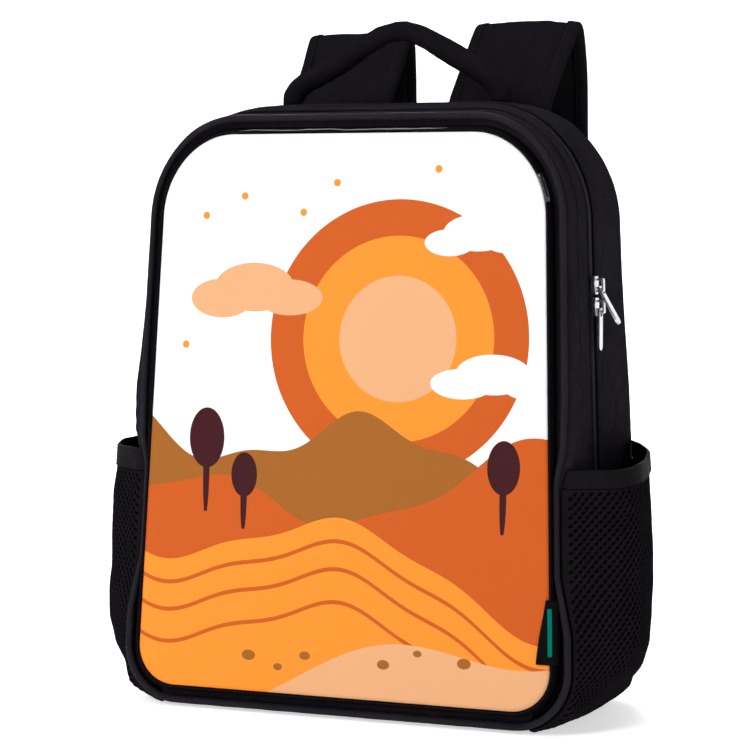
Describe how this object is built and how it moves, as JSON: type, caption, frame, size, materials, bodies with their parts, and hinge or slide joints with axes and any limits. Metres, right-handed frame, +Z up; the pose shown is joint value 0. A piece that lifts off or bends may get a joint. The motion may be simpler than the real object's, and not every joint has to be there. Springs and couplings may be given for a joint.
{
  "type": "kids backpack",
  "caption": "Upright child's backpack: framed front panel, arched zipper gusset, side mesh pockets, padded handle and shoulder straps.",
  "frame": {"origin": "on the floor, under the middle of the base between the lowest points of the front and back planes", "axes": "+X is image right, the side with the two zipper sliders; -Y is the printed front; +Z is up"},
  "size_m": [0.3602, 0.1992, 0.4303],
  "materials": {
    "shell": "woven polyester",
    "padding": "padded woven polyester",
    "trim": "bound edge, slight gloss",
    "print": "printed, smooth",
    "mesh": "open knitted mesh",
    "hem": "ribbed elastic",
    "webbing": "flat webbing",
    "label": "folded satin tag with a plain stripe",
    "coil": "nylon coil",
    "plastic": "moulded",
    "metal": "bright plated"
  },
  "bodies": {
    "root": {"front_panel": "print", "front_border": "trim", "front_piping": "trim", "gusset_front": "shell", "gusset_rear": "shell", "gusset_base": "shell", "back_panel": "padding", "zipper_tape_front": "trim", "zipper_tape_rear": "trim", "zipper_coil": "coil", "pocket_mesh_right": "mesh", "pocket_hem_right": "hem", "pocket_mesh_left": "mesh", "pocket_hem_left": "hem", "strap_right": "padding", "strap_buckle_right": "plastic", "strap_webbing_right": "webbing", "corner_tab_right": "shell", "strap_left": "padding", "strap_buckle_left": "plastic", "strap_webbing_left": "webbing", "corner_tab_left": "shell", "carry_handle": "padding", "zipper_slider_upper": "metal", "zipper_slider_lower": "metal", "side_label": "label"},
    "pull_upper": {"zipper_pull_upper": "metal"},
    "pull_lower": {"zipper_pull_lower": "metal"}
  },
  "joints": [
    {"name": "pull_upper_swing", "type": "hinge", "parent": "root", "child": "pull_upper", "pos_m": [0.14387, -0.0016, 0.26272], "axis": [0, -1, 0], "range_deg": [0, 80]},
    {"name": "pull_lower_swing", "type": "hinge", "parent": "root", "child": "pull_lower", "pos_m": [0.14438, -0.00187, 0.24972], "axis": [0, -1, 0], "range_deg": [0, 40]}
  ]
}
